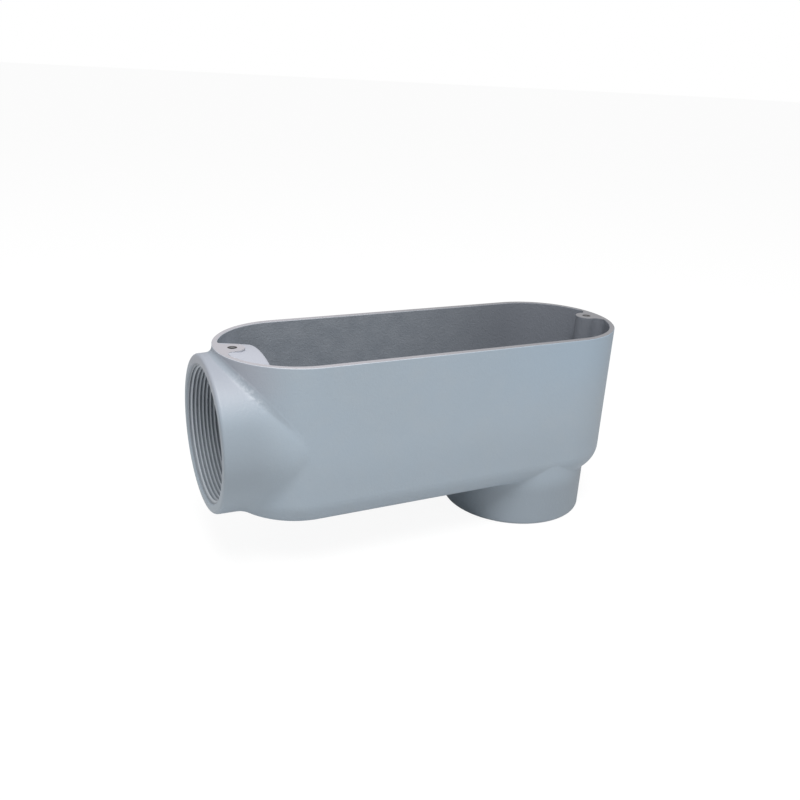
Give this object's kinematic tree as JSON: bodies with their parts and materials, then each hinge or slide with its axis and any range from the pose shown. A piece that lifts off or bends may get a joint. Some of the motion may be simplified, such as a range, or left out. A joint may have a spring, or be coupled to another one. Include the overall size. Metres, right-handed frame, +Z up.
{
  "type": "conduit body",
  "caption": "Elbow conduit body for large rigid conduit: one painted casting with a long round-ended tub, an end hub and a back hub, both threaded, and no cover.",
  "frame": {"origin": "centre of the back hub's mouth", "axes": "+Z up towards the cover opening, along the back hub's axis; -X along the end hub's axis, out of its mouth; +Y completes the frame, and the casting is mirrored across the plane Y = 0"},
  "size_m": [0.3871, 0.136, 0.1775],
  "materials": {
    "painted_casting": "light blue-grey satin paint over a finely grained sand casting"
  },
  "bodies": {
    "root": {"conduit_body": "painted_casting"}
  },
  "joints": []
}
